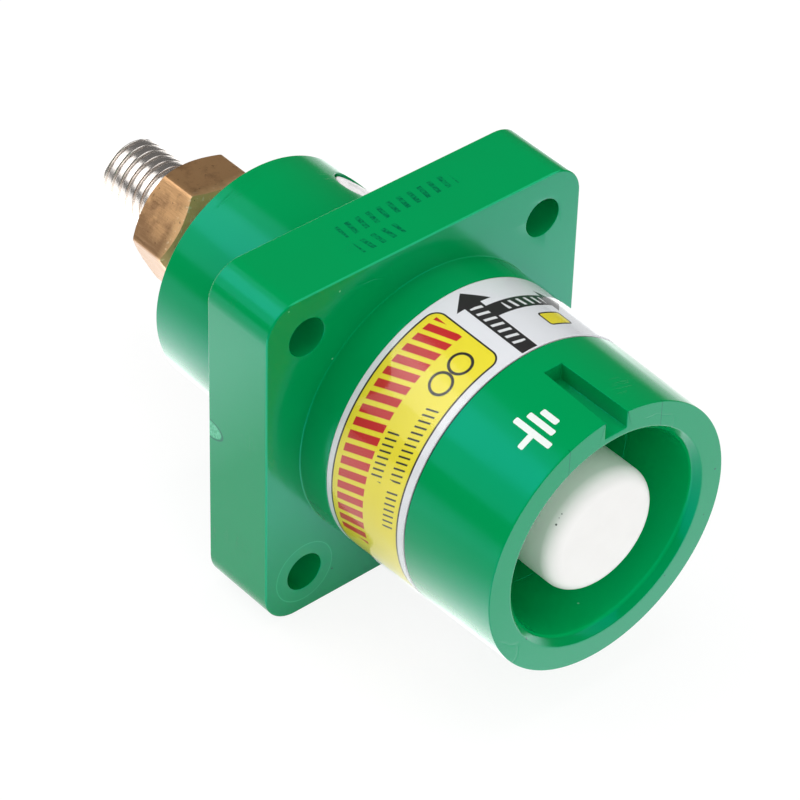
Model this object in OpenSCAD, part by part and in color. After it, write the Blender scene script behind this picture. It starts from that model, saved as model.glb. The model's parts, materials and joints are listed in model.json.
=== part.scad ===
// Panel connector with one pole: a flanged moulding, a keyed ring, a plated contact and a threaded post.
// The axis of the connector lies along Y. The mating end points to -Y and the threaded post to +Y.
// The origin is the centre of the flange's rear face, which lies on the panel.

/* [Flange] */
// Side of the square flange
flange_w = 58; // [54:0.5:64]
// Thickness of the flange
flange_t = 13; // [10:0.5:15]
// Radius of the flange's four corners
flange_corner_r = 5.5; // [3:0.1:8]
// Distance between the centres of neighbouring fixing holes
hole_pitch = 43.7; // [43:0.1:46]
// Diameter of the fixing holes
hole_d = 6.2; // [4.5:0.1:7]
// Fillet between the flange and what stands on it
root_fillet = 0.6; // [0.2:0.1:1.5]

/* [Barrel] */
// Diameter of the barrel where it leaves the flange
barrel_d = 45.7; // [45:0.1:48]
// Draft of the barrel's outside, in degrees
barrel_draft = 1.43; // [0.5:0.01:2]
// Length of the plain band between the flange and the label
root_band_l = 5.6; // [3:0.1:8]
// Width of the band that carries the label
label_w = 16.4; // [10:0.1:20]
// Thickness of the printed wrap
wrap_t = 0.25; // [0.1:0.05:0.4]
// Thickness of the clear sleeve
sleeve_t = 0.2; // [0.1:0.05:0.6]
// How far the clear sleeve stands above the barrel's outside
sleeve_rise = 0.15; // [0:0.05:0.3]

/* [Keyed ring] */
// Length of the ring
ring_l = 17.3; // [15.5:0.1:20]
// Chamfer at the mouth of the bore
mouth_chamfer = 1.13; // [0.5:0.01:1.5]
// Width of the keyway at the ring's front edge
keyway_w = 4; // [3:0.1:6]
// Depth of the keyway at the ring's front edge
keyway_depth = 2.95; // [2:0.05:3.3]
// Length of the keyway
keyway_l = 12.9; // [10:0.1:14]
// Draft of the keyway's sides and floor, in degrees
keyway_draft = 1.7; // [0.5:0.1:2.5]
// Length of the spigot that the ring sits on
spigot_l = 3; // [2:0.1:3.8]
// Wall of the spigot
spigot_wall = 2.7; // [2:0.1:3]

/* [Cavity] */
// Wall between the cavity and the outside of the ring's front edge
ring_wall = 5.02; // [4.8:0.02:6]
// Depth of the cavity
cavity_depth = 34.3; // [30:0.1:38]

/* [Boss] */
// Diameter of the boss behind the flange
boss_d = 38.5; // [36:0.1:40]
// Length of the boss
boss_l = 25; // [23:0.5:30]
// Distance from the boss's rear face to the middle of the plugged hole
plug_back = 9.4; // [8:0.1:11]
// Direction of the plugged hole, in degrees up from the right
plug_angle = 50.4; // [0:0.1:90]
// Diameter of the plugged hole
plug_hole_d = 9.2; // [8.5:0.1:10]
// Depth of the plugged hole
plug_hole_depth = 3.2; // [3:0.1:3.6]
// Thickness of the plug's head
plug_head_t = 1.7; // [1:0.1:1.8]
// How far the plug's face lies below the boss's outside
plug_sink = 0.35; // [0.2:0.05:0.4]
// Gap between the plug's head and its hole
plug_rim_gap = 0.35; // [0.1:0.05:0.5]
// Cord diameter of the plug's seal
plug_cord = 1; // [0.8:0.05:1.1]

/* [Contact] */
// Diameter of the contact inside the boss
shank_d = 23; // [21.5:0.1:24]
// Length of the contact's shank inside the boss
shank_l = 30; // [28:0.5:31]
// Diameter of the contact inside the cavity
pin_d = 19.6; // [18:0.1:19.8]
// Diameter of the neck that the nose cap sits on
neck_d = 13; // [10:0.1:15]
// Length of that neck
neck_l = 9; // [6:0.1:10]

/* [Nose cap] */
// Diameter of the nose cap
cap_d = 20; // [20:0.1:21]
// Length of the nose cap
cap_l = 14.5; // [13.5:0.1:18]
// Radius of the nose cap's front edge
cap_edge_r = 2.3; // [1:0.1:2.8]
// How far the nose cap lies inside the ring's mouth
cap_sink = 0.8; // [0:0.1:3]

/* [Contact band] */
// Width of the groove for the louvred band
band_w = 8; // [6:0.1:9]
// Depth of that groove
band_depth = 0.9; // [0.7:0.05:1.2]
// Distance from the nose cap to the groove
band_back = 3; // [2:0.5:5]
// Sheet thickness of the band
band_sheet = 0.25; // [0.15:0.05:0.4]
// Width of the band's rims
rim_w = 1.4; // [0.8:0.1:1.8]
// Number of louvres round the band
louvre_count = 30; // [20:1:32]
// Width of each louvre
louvre_w = 1.5; // [1:0.05:1.6]
// Turn of each louvre out of the band, in degrees
louvre_turn = 33; // [15:1:35]

/* [Seals and retention] */
// Cord diameter of the round seals
seal_cord = 1.8; // [1.4:0.1:2]
// Distance from the shank's front face to the first of its seals
seal_back = 4; // [3:0.5:5]
// Distance between the shank's two seals
seal_pitch = 5; // [4:0.5:6]
// Thickness of the thrust washer
thrust_t = 1; // [0.8:0.1:1.2]
// Gap between the thrust washer and the post
thrust_gap = 1; // [0.5:0.1:3]
// Distance from the boss's rear face to the retaining ring's groove
snap_back = 2; // [1.5:0.1:3]
// Thickness of the retaining ring
snap_t = 1.2; // [1:0.1:1.4]
// Radial width of the retaining ring
snap_w = 2.4; // [2:0.1:2.6]
// Depth of the retaining ring's groove in the boss
snap_depth = 1; // [0.6:0.1:1.2]
// Half the angle of the retaining ring's opening, in degrees
snap_opening = 14; // [8:1:25]
// Turn from the opening's edge to the middle of each lug, in degrees
lug_turn = 6; // [5:0.5:10]
// Radius of the lugs
lug_r = 1.9; // [1.6:0.1:2.2]
// Diameter of the plier holes in the lugs
plier_hole_d = 1.4; // [1.2:0.1:1.8]
// Diameter of the locking screw
lock_d = 6; // [5:0.5:6]
// Diameter of the locking screw's point
lock_point_d = 4; // [3:0.1:4.4]
// Depth of the point in the contact
lock_point_depth = 1.5; // [1:0.1:2]
// Distance across the flats of the locking screw's socket
socket_af = 3; // [2.5:0.5:3.5]
// Depth of that socket
socket_depth = 2.4; // [1.5:0.1:3]
// Gap between the locking screw and the plug above it
lock_gap = 0.3; // [0.2:0.05:0.6]

/* [Threaded post] */
// Outer diameter of the thread
stud_d = 11.9; // [10:0.1:12]
// Length of the post behind the boss
stud_l = 32; // [31:0.5:40]
// Length of the post inside the contact
stud_seat_l = 20; // [16:0.5:22]
// Chamfer at the end of the post
stud_chamfer = 1.1; // [0.5:0.1:1.5]
// Distance across the flats of the nut
nut_af = 19; // [18:0.5:22]
// Thickness of the nut
nut_t = 9.6; // [6:0.1:10.8]
// Space between the boss and the nut
nut_gap = 8.45; // [1:0.05:10]
// Slope of the nut's turned chamfers, in degrees
nut_slope = 35; // [20:1:40]
// Diameter of the nut's flat faces, as a share of the distance across the flats
nut_face_share = 0.922; // [0.88:0.002:0.97]
// Width of the countersinks at the nut's thread
nut_sink = 0.8; // [0.3:0.1:1]
// Turn of the nut on the post, in degrees
nut_turn = 115; // [0:1:360]

/* [Clearances] */
// Radial clearance between parts that slide together
slide_gap = 0.05; // [0.03:0.01:0.1]
// Clearance at the ends of parts that lie in a groove
end_gap = 0.1; // [0.05:0.05:0.2]

/* [Hidden] */

$fn = 96;
over = 1; // how far cutting shapes run past what they cut

// Outer radius of the drafted barrel at a station
function barrel_r(at) = barrel_d / 2 - (at - flange_t) * tan(barrel_draft);

// Stations along the axis, counted forward from the flange's rear face
label_from = flange_t + root_band_l;
label_to = label_from + label_w;
ring_front = label_to + ring_l;
spigot_end = label_to + spigot_l;
keyway_from = ring_front - keyway_l;
cavity_floor = ring_front - cavity_depth;
cap_front = ring_front - cap_sink;
pin_front = cap_front - cap_l;
snap_groove_at = -boss_l + snap_back;
thrust_at = snap_groove_at + snap_t + 2 * end_gap; // rear face of the thrust washer
shank_rear = thrust_at + thrust_t;
shank_front = shank_rear + shank_l;
nut_front = -boss_l - nut_gap;
stud_end = -boss_l - stud_l;
plug_at = -boss_l + plug_back;
front_seal_at = shank_front - seal_back;
rear_seal_at = front_seal_at - seal_pitch;
pin_seal_at = (shank_front + cavity_floor) / 2;
band_at = pin_front - band_back - band_w; // rear edge of the louvred band

// Radii
boss_r = boss_d / 2;
shank_r = shank_d / 2;
pin_r = pin_d / 2;
neck_r = neck_d / 2;
stud_r = stud_d / 2;
lock_r = lock_d / 2;
plug_hole_r = plug_hole_d / 2;
plug_seat = boss_r - plug_hole_depth;
plug_stem_r = plug_hole_r - plug_cord - 2 * slide_gap;
bore_r = shank_r + slide_gap;
film_gap = 0.02; // room for the adhesive below each film
wrap_rise = sleeve_rise - sleeve_t - film_gap;
label_depth = wrap_t + film_gap - wrap_rise;
cavity_r = barrel_r(ring_front) - ring_wall;
spigot_r = cavity_r + spigot_wall;
seal_groove_r = bore_r - seal_cord - slide_gap;
band_seat_r = pin_r - band_depth;

// Turns a shape that was drawn along +Z so that it points to the mating end
module on_axis() {
    rotate([90, 0, 0])
        children();
}

// Puts a shape that was drawn along +Z on the axis of the plugged hole, pointing outward
module on_plug_axis() {
    on_axis()
        translate([0, 0, plug_at])
            rotate([0, 0, plug_angle])
                rotate([0, 90, 0])
                    children();
}

// Square with round corners
module rounded_square(side, r) {
    inner = side / 2 - r;
    square([side, 2 * inner], center = true);
    square([2 * inner, side], center = true);
    for (x = [-inner, inner], y = [-inner, inner])
        translate([x, y])
            circle(r = r);
}

// Tube between two stations
module tube(outer_r, inner_r, from, to) {
    rotate_extrude()
        translate([inner_r, from])
            square([outer_r - inner_r, to - from]);
}

// Round seal with its middle at a station
module seal_cord_ring(middle_r, at, cord) {
    on_axis()
        rotate_extrude()
            translate([middle_r, at])
                circle(d = cord, $fn = 32);
}

// Material between a plate's face and a round wall, with a hollow round face
module fillet_ring(wall_r, at, r, side) {
    rotate_extrude()
        difference() {
            translate([wall_r - r, at - (side < 0 ? r : 0)])
                square([2 * r, r]);
            translate([wall_r + r, at + side * r])
                circle(r = r, $fn = 48);
        }
}

module fixing_holes() {
    for (x = [-1, 1], y = [-1, 1])
        translate([x * hole_pitch / 2, y * hole_pitch / 2, -over])
            cylinder(h = flange_t + 2 * over, d = hole_d);
}

// Outside of the barrel: the root band, the label's seat and the spigot for the ring
module barrel_outside() {
    rotate_extrude()
        polygon([
            [0, 0],
            [barrel_r(flange_t), 0],
            [barrel_r(flange_t), flange_t],
            [barrel_r(label_from), label_from],
            [barrel_r(label_from) - label_depth, label_from],
            [barrel_r(label_to) - label_depth, label_to],
            [spigot_r, label_to],
            [spigot_r, spigot_end],
            [0, spigot_end]
        ]);
}

// What the contact and its retention take out of the moulding
module housing_bore() {
    tube(cavity_r, 0, cavity_floor, spigot_end + over);
    tube(bore_r, 0, -boss_l - over, shank_front);
    tube(pin_r + slide_gap, 0, shank_front - over, cavity_floor + over);
    tube(bore_r + snap_depth, 0, snap_groove_at, thrust_at);
}

module housing() {
    color("forestgreen") {
        difference() {
            on_axis()
                difference() {
                    union() {
                        linear_extrude(flange_t)
                            rounded_square(flange_w, flange_corner_r);
                        barrel_outside();
                        fillet_ring(barrel_r(flange_t), flange_t, root_fillet, 1);
                        tube(boss_r, 0, -boss_l, flange_t / 2);
                        fillet_ring(boss_r, 0, root_fillet, -1);
                    }
                    fixing_holes();
                    housing_bore();
                }
            on_plug_axis() {
                cylinder(h = boss_r, r = lock_r + slide_gap, $fn = 48);
                translate([0, 0, boss_r - plug_hole_depth])
                    cylinder(h = plug_hole_depth + over, r = plug_hole_r, $fn = 64);
            }
        }
    }
}

// What the keyway takes out of the ring: its sides and its floor close in towards the rear
module keyway_cut() {
    narrowing = keyway_l * tan(keyway_draft);
    front_half = keyway_w / 2 + over * tan(keyway_draft);
    rear_half = keyway_w / 2 - narrowing;
    floor_r = barrel_r(ring_front) - keyway_depth;
    intersection() {
        rotate([-90, 0, 0])
            linear_extrude(barrel_d)
                polygon([
                    [-rear_half, -keyway_from],
                    [rear_half, -keyway_from],
                    [front_half, -ring_front - over],
                    [-front_half, -ring_front - over]
                ]);
        rotate([0, -90, 0])
            linear_extrude(2 * keyway_w, center = true)
                polygon([
                    [keyway_from, floor_r + narrowing],
                    [keyway_from, barrel_d],
                    [ring_front + over, barrel_d],
                    [ring_front + over, floor_r - over * tan(keyway_draft)]
                ]);
    }
}

module front_ring() {
    color("seagreen")
        on_axis()
            difference() {
                rotate_extrude()
                    polygon([
                        [spigot_r + slide_gap, label_to],
                        [barrel_r(label_to), label_to],
                        [barrel_r(ring_front), ring_front],
                        [cavity_r + mouth_chamfer, ring_front],
                        [cavity_r, ring_front - mouth_chamfer],
                        [cavity_r, spigot_end],
                        [spigot_r + slide_gap, spigot_end]
                    ]);
                keyway_cut();
            }
}

// Drafted film round the barrel, whose outside stands above the barrel's own
module film(rise, t) {
    on_axis()
        rotate_extrude()
            polygon([
                [barrel_r(label_from) + rise - t, label_from + end_gap],
                [barrel_r(label_from) + rise, label_from + end_gap],
                [barrel_r(label_to) + rise, label_to - end_gap],
                [barrel_r(label_to) + rise - t, label_to - end_gap]
            ]);
}

module label_wrap() {
    color("gold")
        film(wrap_rise, wrap_t);
}

module label_sleeve() {
    color("lightcyan")
        film(sleeve_rise, sleeve_t);
}

module nose_cap() {
    color("white")
        on_axis()
            difference() {
                rotate_extrude()
                    union() {
                        translate([0, pin_front])
                            square([cap_d / 2, cap_l - cap_edge_r]);
                        translate([0, pin_front])
                            square([cap_d / 2 - cap_edge_r, cap_l]);
                        translate([cap_d / 2 - cap_edge_r, cap_front - cap_edge_r])
                            circle(r = cap_edge_r, $fn = 64);
                    }
                tube(neck_r + slide_gap, 0, pin_front - over, pin_front + neck_l + end_gap);
            }
}

// Round grooves of the contact, each with a seal's width of room
module seal_groove(at) {
    tube(bore_r + over, seal_groove_r, at - seal_cord / 2 - 2 * end_gap, at + seal_cord / 2 + 2 * end_gap);
}

module contact_pin() {
    color("silver")
        difference() {
            on_axis()
                difference() {
                    union() {
                        tube(shank_r, 0, shank_rear, shank_front);
                        tube(pin_r, 0, shank_front - over, pin_front);
                        tube(neck_r, 0, pin_front - over, pin_front + neck_l);
                    }
                    seal_groove(front_seal_at);
                    seal_groove(rear_seal_at);
                    tube(pin_r + over, pin_r - seal_cord + slide_gap,
                        pin_seal_at - seal_cord / 2 - end_gap, pin_seal_at + seal_cord / 2 + end_gap);
                    tube(pin_r + over, band_seat_r, band_at, band_at + band_w);
                    tube(stud_r + slide_gap, 0, shank_rear - over, shank_rear + stud_seat_l);
                }
            on_plug_axis()
                translate([0, 0, shank_r - lock_point_depth])
                    cylinder(h = over + lock_point_depth, d = lock_point_d + 2 * slide_gap, $fn = 48);
        }
}

// Louvred spring band: two rims with a row of turned blades between them
module contact_band() {
    inner_r = band_seat_r + slide_gap;
    rise = louvre_w * sin(louvre_turn) + band_sheet * cos(louvre_turn);
    from = band_at + end_gap;
    to = band_at + band_w - end_gap;
    root = rim_w - band_sheet; // each louvre starts inside a rim
    color("goldenrod")
        on_axis() {
            tube(inner_r + band_sheet, inner_r, from, from + rim_w);
            tube(inner_r + band_sheet, inner_r, to - rim_w, to);
            for (i = [0 : louvre_count - 1])
                rotate([0, 0, i * 360 / louvre_count])
                    translate([inner_r + rise / 2, 0, (from + to) / 2])
                        rotate([0, 0, louvre_turn])
                            cube([band_sheet, louvre_w, to - from - 2 * root], center = true);
        }
}

module pin_seal() {
    color("dimgray")
        seal_cord_ring(pin_r + slide_gap - seal_cord / 2 + slide_gap / 2, pin_seal_at, seal_cord - slide_gap);
}

module front_seal() {
    color("dimgray")
        seal_cord_ring(bore_r - seal_cord / 2 - slide_gap / 2, front_seal_at, seal_cord);
}

module rear_seal() {
    color("dimgray")
        seal_cord_ring(bore_r - seal_cord / 2 - slide_gap / 2, rear_seal_at, seal_cord);
}

module thrust_washer() {
    color("gainsboro")
        on_axis()
            tube(bore_r - slide_gap, stud_r + thrust_gap, thrust_at, thrust_at + thrust_t);
}

// Open snap ring with two lugs that have holes for the pliers
module retaining_ring() {
    ring_r = bore_r + snap_depth - end_gap;
    lug_at = ring_r - snap_w - 2 * end_gap;
    half_opening = 2 * ring_r * tan(snap_opening);
    color("slategray")
        on_axis()
            translate([0, 0, thrust_at - end_gap - snap_t])
                linear_extrude(snap_t)
                    difference() {
                        union() {
                            difference() {
                                circle(r = ring_r);
                                circle(r = ring_r - snap_w);
                                rotate(-90)
                                    polygon([
                                        [0, 0],
                                        [2 * ring_r, -half_opening],
                                        [2 * ring_r, half_opening]
                                    ]);
                            }
                            for (side = [-1, 1])
                                rotate(-90 + side * (snap_opening + lug_turn))
                                    translate([lug_at, 0])
                                        circle(r = lug_r, $fn = 32);
                        }
                        for (side = [-1, 1])
                            rotate(-90 + side * (snap_opening + lug_turn))
                                translate([lug_at, 0])
                                    circle(d = plier_hole_d, $fn = 24);
                    }
}

// Grub screw with a point in the contact and a hexagon socket below the plug
module lock_screw() {
    top = plug_seat - lock_gap;
    color("darkslategray")
        on_plug_axis()
            difference() {
                union() {
                    translate([0, 0, bore_r + end_gap])
                        cylinder(h = top - bore_r - end_gap, r = lock_r, $fn = 48);
                    translate([0, 0, shank_r - lock_point_depth + end_gap])
                        cylinder(h = over + lock_point_depth, d = lock_point_d, $fn = 48);
                }
                translate([0, 0, top - socket_depth])
                    cylinder(h = socket_depth + over, d = socket_af / cos(30), $fn = 6);
            }
}

module plug_seal() {
    color("black")
        on_plug_axis()
            rotate_extrude()
                translate([plug_hole_r - slide_gap - plug_cord / 2, plug_seat + slide_gap + plug_cord / 2])
                    circle(d = plug_cord, $fn = 32);
}

module screw_plug() {
    color("whitesmoke")
        on_plug_axis() {
            translate([0, 0, plug_seat])
                cylinder(h = plug_hole_depth - plug_sink - plug_head_t, r = plug_stem_r, $fn = 64);
            translate([0, 0, boss_r - plug_sink - plug_head_t])
                cylinder(h = plug_head_t, r = plug_hole_r - plug_rim_gap, $fn = 64);
        }
}

module terminal_stud() {
    color("silver")
        on_axis()
            rotate_extrude()
                polygon([
                    [0, stud_end],
                    [stud_r - stud_chamfer, stud_end],
                    [stud_r, stud_end + stud_chamfer],
                    [stud_r, shank_rear + stud_seat_l - end_gap],
                    [0, shank_rear + stud_seat_l - end_gap]
                ]);
}

// Hexagon nut with turned chamfers on both faces and countersunk thread mouths
module hex_nut() {
    corner_r = nut_af / 2 / cos(30);
    face_r = nut_af / 2 * nut_face_share;
    drop = (corner_r + over - face_r) * tan(nut_slope);
    color("goldenrod")
        on_axis()
            translate([0, 0, nut_front - nut_t])
                difference() {
                    intersection() {
                        rotate([0, 0, nut_turn])
                            cylinder(h = nut_t, r = corner_r, $fn = 6);
                        rotate_extrude()
                            polygon([
                                [0, 0],
                                [face_r, 0],
                                [corner_r + over, drop],
                                [corner_r + over, nut_t - drop],
                                [face_r, nut_t],
                                [0, nut_t]
                            ]);
                    }
                    translate([0, 0, -over])
                        cylinder(h = nut_t + 2 * over, r = stud_r + slide_gap);
                    rotate_extrude()
                        polygon([
                            [0, -over],
                            [stud_r + nut_sink + over, -over],
                            [stud_r, nut_sink],
                            [0, nut_sink]
                        ]);
                    rotate_extrude()
                        polygon([
                            [0, nut_t + over],
                            [stud_r + nut_sink + over, nut_t + over],
                            [stud_r, nut_t - nut_sink],
                            [0, nut_t - nut_sink]
                        ]);
                }
}

housing();
front_ring();
label_wrap();
label_sleeve();
nose_cap();
contact_pin();
contact_band();
pin_seal();
front_seal();
rear_seal();
thrust_washer();
retaining_ring();
lock_screw();
plug_seal();
screw_plug();
terminal_stud();
hex_nut();
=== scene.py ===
import json
import math

import bmesh
import bpy
import numpy as np
from mathutils import Matrix, Vector


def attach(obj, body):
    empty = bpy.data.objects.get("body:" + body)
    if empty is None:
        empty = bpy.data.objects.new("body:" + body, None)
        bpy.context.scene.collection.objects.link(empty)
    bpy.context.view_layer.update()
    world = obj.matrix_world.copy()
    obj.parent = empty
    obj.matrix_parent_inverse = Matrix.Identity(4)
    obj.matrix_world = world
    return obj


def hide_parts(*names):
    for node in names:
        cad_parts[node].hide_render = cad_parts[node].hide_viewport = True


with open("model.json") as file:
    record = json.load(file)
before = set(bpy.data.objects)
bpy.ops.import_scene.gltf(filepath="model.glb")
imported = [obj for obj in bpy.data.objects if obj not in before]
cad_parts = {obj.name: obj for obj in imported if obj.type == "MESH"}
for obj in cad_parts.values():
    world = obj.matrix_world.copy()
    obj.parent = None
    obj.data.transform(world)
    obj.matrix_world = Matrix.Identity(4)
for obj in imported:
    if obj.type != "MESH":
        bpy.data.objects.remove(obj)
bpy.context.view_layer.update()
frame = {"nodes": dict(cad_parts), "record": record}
scene = bpy.context.scene
mm = 0.001

# Sizes that several pieces share, in millimetres and degrees
flange = {
    "half": 29.0, "thick": 13.0, "cornerR": 5.5, "edgeR": 0.22,
    "pitchHalf": 21.85, "holeR": 3.1, "holeEdgeR": 0.12,
}
barrel = {
    "rootR": 22.85, "draft": 1.43, "fillet": 0.2, "front": 52.3,
    "labelFrom": 18.6, "labelTo": 35.0, "labelDepth": 0.34, "spigotR": 19.55, "spigotEnd": 38.0,
    "cavityR": 16.849, "cavityFloor": 18.0, "contactR": 9.85, "shoulder": 9.4,
}
boss = {
    "outerR": 19.25, "length": 25.0, "edgeR": 0.15,
    "boreR": 11.55, "grooveFrom": 21.6, "grooveTo": 23.0, "grooveR": 12.55,
}
plug = {
    "along": 15.6, "angle": 50.4, "holeR": 4.6, "rimR": 0.15, "seatR": 16.05,
    "headR": 4.25, "headTop": 18.9, "headT": 1.7, "stemR": 3.5,
    "dishR": 2.2, "dishDepth": 0.25, "dishSlope": 0.3, "sealR": 4.05, "sealHalf": 0.49, "sealRise": 0.55,
}


def outsideR(station):
    # a station is a distance in front of the flange's rear face
    return barrel["rootR"] - (station - flange["thick"]) * math.tan(math.radians(barrel["draft"]))


# Materials: shorthand for their nodes
def newMaterial(name):
    material = bpy.data.materials.new(name)
    material.use_nodes = True
    tree = material.node_tree
    return material, tree, tree.nodes["Principled BSDF"]


def node(tree, kind, **settings):
    made = tree.nodes.new(kind)
    for key, value in settings.items():
        if key.startswith("in_"):
            made.inputs[key[3:].replace("_", " ")].default_value = value
        else:
            setattr(made, key, value)
    return made


def calc(tree, operation, first, second=None, third=None):
    made = node(tree, "ShaderNodeMath", operation=operation)
    for socket, value in zip(made.inputs, (first, second, third)):
        if isinstance(value, (int, float)):
            socket.default_value = value
        elif value is not None:
            tree.links.new(value, socket)
    return made.outputs["Value"]


def ranged(tree, source, low, high, toLow, toHigh):
    ends = {"in_From_Min": low, "in_From_Max": high, "in_To_Min": toLow, "in_To_Max": toHigh}
    mapped = node(tree, "ShaderNodeMapRange", **ends)
    tree.links.new(source, mapped.inputs["Value"])
    return mapped.outputs["Result"]


def mixedColor(tree, factor, first, second):
    mix = node(tree, "ShaderNodeMix", data_type="RGBA")
    for socket, value in ((mix.inputs["A"], first), (mix.inputs["B"], second)):
        if isinstance(value, tuple):
            socket.default_value = (*value, 1.0)
        else:
            tree.links.new(value, socket)
    tree.links.new(factor, mix.inputs["Factor"])
    return mix.outputs["Result"]


def objectPlace(tree):
    return node(tree, "ShaderNodeTexCoord").outputs["Object"]


def millimetres(tree):
    # x, y and z of a point in the connector's own frame
    split = node(tree, "ShaderNodeSeparateXYZ")
    tree.links.new(objectPlace(tree), split.inputs["Vector"])
    return tuple(calc(tree, "MULTIPLY", split.outputs[axis], 1000.0) for axis in "XYZ")


def noise(tree, scale, detail=4.0):
    made = node(tree, "ShaderNodeTexNoise", in_Scale=scale, in_Detail=detail)
    tree.links.new(objectPlace(tree), made.inputs["Vector"])
    return made.outputs["Fac"]


def stretchedNoise(tree, rotation, scale, detail, roughness=0.5):
    turned = node(tree, "ShaderNodeMapping", in_Rotation=rotation, in_Scale=scale)
    tree.links.new(objectPlace(tree), turned.inputs["Vector"])
    made = node(tree, "ShaderNodeTexNoise", in_Scale=1.0, in_Detail=detail, in_Roughness=roughness)
    tree.links.new(turned.outputs["Vector"], made.inputs["Vector"])
    return made.outputs["Fac"]


def bumped(tree, shader, height, distance):
    bump = node(tree, "ShaderNodeBump", in_Distance=distance, in_Strength=1.0)
    tree.links.new(height, bump.inputs["Height"])
    tree.links.new(bump.outputs["Normal"], shader.inputs["Normal"])


# Distances and masks of plain shapes, in millimetres: a mask is 1 on the shape and 0 off it
def apart(tree, value, middle):
    return calc(tree, "ABSOLUTE", calc(tree, "SUBTRACT", value, middle))


def hypotenuse(tree, a, b):
    return calc(tree, "SQRT", calc(tree, "ADD", calc(tree, "MULTIPLY", a, a), calc(tree, "MULTIPLY", b, b)))


def inside(tree, distance, soft=0.03):
    # where the signed distance is below 0, with a soft edge
    return ranged(tree, distance, -soft, soft, 1.0, 0.0)


def below(tree, value, limit, soft=0.03):
    return inside(tree, calc(tree, "SUBTRACT", value, limit), soft)


def onLine(tree, distance, half, soft=0.03):
    # along the edge of a shape, half a line's width to either side
    return below(tree, calc(tree, "ABSOLUTE", distance), half, soft)


def both(tree, *masks):
    result = masks[0]
    for mask in masks[1:]:
        result = calc(tree, "MULTIPLY", result, mask)
    return result


def boxDistance(tree, across, along, middle, half, corner=0.06):
    # distance from a rectangle with round corners: how far a point lies past each side, taken together
    past = [
        calc(tree, "MAXIMUM", calc(tree, "SUBTRACT", apart(tree, value, centre), reach - corner), 0.0)
        for value, centre, reach in zip((across, along), middle, half)
    ]
    return calc(tree, "SUBTRACT", hypotenuse(tree, *past), corner)


def stripes(tree, across, along, pitch, share, slant):
    # slanted bars: the place across moves with the place along, then repeats
    moved = calc(tree, "MULTIPLY_ADD", along, slant, across)
    part = calc(tree, "FRACT", calc(tree, "DIVIDE", moved, pitch))
    past = calc(tree, "SUBTRACT", apart(tree, part, 0.5), share / 2)
    return inside(tree, calc(tree, "MULTIPLY", past, pitch))


def spotted(tree, color, spots, soft):
    # small round marks: place, radius and colour of each, in millimetres
    for spot, size, ink in spots:
        near = node(tree, "ShaderNodeVectorMath", operation="DISTANCE")
        tree.links.new(objectPlace(tree), near.inputs[0])
        near.inputs[1].default_value = tuple(v * mm for v in spot)
        color = mixedColor(tree, below(tree, near.outputs["Value"], size * mm, soft * mm), color, ink)
    return color


# Plain finishes: name, colour, its darker patches, roughness, how far that varies, how metallic
finishes = {
    "white_moulding": ("whiteMoulding", (0.9, 0.89, 0.875), (0.87, 0.86, 0.845), 0.45, 0.05, 0.0),
    "plated_metal": ("platedMetal", (0.97, 0.91, 0.86), (0.86, 0.8, 0.75), 0.24, 0.05, 0.92),
    "spring_band": ("springBand", (0.7, 0.6, 0.42), (0.62, 0.5, 0.34), 0.25, 0.05, 1.0),
    "seal_rubber": ("sealRubber", (0.03, 0.03, 0.03), (0.02, 0.02, 0.02), 0.55, 0.06, 0.0),
    "dark_steel": ("darkSteel", (0.18, 0.18, 0.19), (0.12, 0.12, 0.13), 0.35, 0.08, 1.0),
    "plug_moulding": ("plugMoulding", (0.95, 0.9, 0.92), (0.9, 0.85, 0.87), 0.38, 0.05, 0.0),
    "sign_white": ("signWhite", (0.78, 0.83, 0.8), (0.73, 0.79, 0.76), 0.35, 0.04, 0.0),
}
grain = {"scale": 400.0, "bump": 0.00002}


def plainMaterial(name, color, darker, roughness, spread, metallic):
    material, tree, shader = newMaterial(name)
    patches = noise(tree, grain["scale"])
    tree.links.new(mixedColor(tree, patches, color, darker), shader.inputs["Base Color"])
    rough = ranged(tree, patches, 0.3, 0.7, roughness - spread, roughness + spread)
    tree.links.new(rough, shader.inputs["Roughness"])
    shader.inputs["Metallic"].default_value = metallic
    bumped(tree, shader, patches, grain["bump"])
    return material


def reworked(material, change):
    # the base colour so far goes through one more step
    tree = material.node_tree
    base = tree.nodes["Principled BSDF"].inputs["Base Color"]
    tree.links.new(change(tree, base.links[0].from_socket), base)


looks = {slotName: plainMaterial(*finish) for slotName, finish in finishes.items()}

# Dirt on the nose cap; on the plate, a duller faced end with tool rings, and painted shade on the underside
dirt = (0.05, 0.05, 0.05)
noseSpecks = (
    ((-8.1, -50.21, 5.46), 0.14, dirt),
    ((-7.06, -50.13, 6.8), 0.09, dirt),
    ((-7.52, -50.11, 6.31), 0.06, dirt),
)
plate = {
    "faceFrom": 56.6, "faceTo": 56.8, "toolPitch": 0.15, "ringShare": (0.8, 1.0),
    # where the painted shade on the underside starts and ends, how strong it is, and the colour it shares
    # with the duller end
    "shadeFrom": -1.5, "shadeTo": -4.5, "shadeShare": 0.8, "dullEndAndShade": (0.42, 0.4, 0.385),
}


def toolRingsAndPaintedShade(tree, color):
    # a duller faced end, where the turning tool has left rings, and painted shade darkening the underside
    x, y, z = millimetres(tree)
    fromAxis, pitch = hypotenuse(tree, x, z), plate["toolPitch"]
    rings = ranged(tree, calc(tree, "PINGPONG", fromAxis, pitch), 0.0, pitch, *plate["ringShare"])
    end = ranged(tree, y, plate["faceFrom"], plate["faceTo"], 0.0, 1.0)
    # painted shade: the underside is darkened
    paintedShade = ranged(tree, z, plate["shadeFrom"], plate["shadeTo"], 0.0, plate["shadeShare"])
    return mixedColor(tree, calc(tree, "MAXIMUM", both(tree, end, rings), paintedShade), color, plate["dullEndAndShade"])


reworked(looks["white_moulding"], lambda tree, color: spotted(tree, color, noseSpecks, 0.05))
reworked(looks["plated_metal"], toolRingsAndPaintedShade)

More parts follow.
